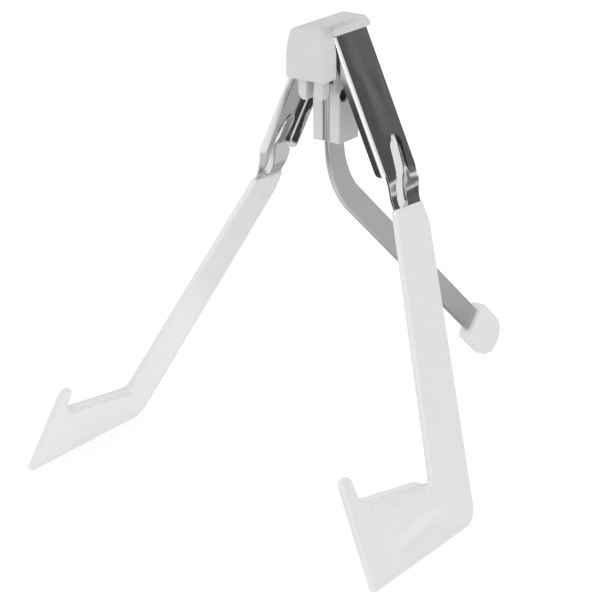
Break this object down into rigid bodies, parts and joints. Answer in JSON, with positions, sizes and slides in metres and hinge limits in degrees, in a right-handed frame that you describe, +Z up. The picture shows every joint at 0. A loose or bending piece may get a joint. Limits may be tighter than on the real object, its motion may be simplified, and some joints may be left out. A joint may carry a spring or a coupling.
{
  "type": "folding guitar stand",
  "caption": "Folding A-frame guitar stand: chrome front legs with coated feet, bent rear leg with rubber boot, white plastic hinge head.",
  "frame": {"origin": "on the floor, in the middle of the open stand's footprint box", "axes": "+Z up, -Y towards the front where the guitar rests, +X to the stand's side with the pivot bolt's head"},
  "size_m": [0.282, 0.3664, 0.2942],
  "materials": {
    "white_plastic": "moulded, fine satin",
    "white_vinyl": "dipped soft vinyl, soft gloss",
    "white_rubber": "moulded, soft sheen",
    "chrome": "bright plated",
    "satin_steel": "satin plated",
    "black_steel": "black oxide",
    "nylon": "natural nylon"
  },
  "bodies": {
    "head": {"head_cap": "white_plastic", "hinge_block": "white_plastic", "rear_pivot_bolt": "black_steel", "rear_pivot_nut": "black_steel", "rear_pivot_spacer_left": "nylon", "rear_pivot_spacer_right": "nylon", "hinge_pin_left": "satin_steel", "hinge_pin_right": "satin_steel", "hinge_pin_clip_left": "satin_steel", "hinge_pin_clip_right": "satin_steel", "front_hinge_washer_left": "nylon", "front_hinge_washer_right": "nylon", "back_hinge_washer_left": "nylon", "back_hinge_washer_right": "nylon"},
    "right_leg": {"front_leg_right": "chrome", "foot_coating_right": "white_vinyl"},
    "left_leg": {"front_leg_left": "chrome", "foot_coating_left": "white_vinyl"},
    "rear_leg": {"rear_leg": "satin_steel", "rear_foot_boot": "white_rubber"}
  },
  "joints": [
    {"name": "right_leg_fold", "type": "hinge", "parent": "head", "child": "right_leg", "pos_m": [0.00876, -0.02499, 0.27985], "axis": [0, 1, 0], "range_deg": [0, 24.7]},
    {"name": "left_leg_fold", "type": "hinge", "parent": "head", "child": "left_leg", "pos_m": [-0.00876, -0.02499, 0.27985], "axis": [0, -1, 0], "range_deg": [0, 24.7]},
    {"name": "rear_leg_fold", "type": "hinge", "parent": "head", "child": "rear_leg", "pos_m": [0, -0.03149, 0.2474], "axis": [-1, 0, 0], "range_deg": [0, 48]}
  ]
}
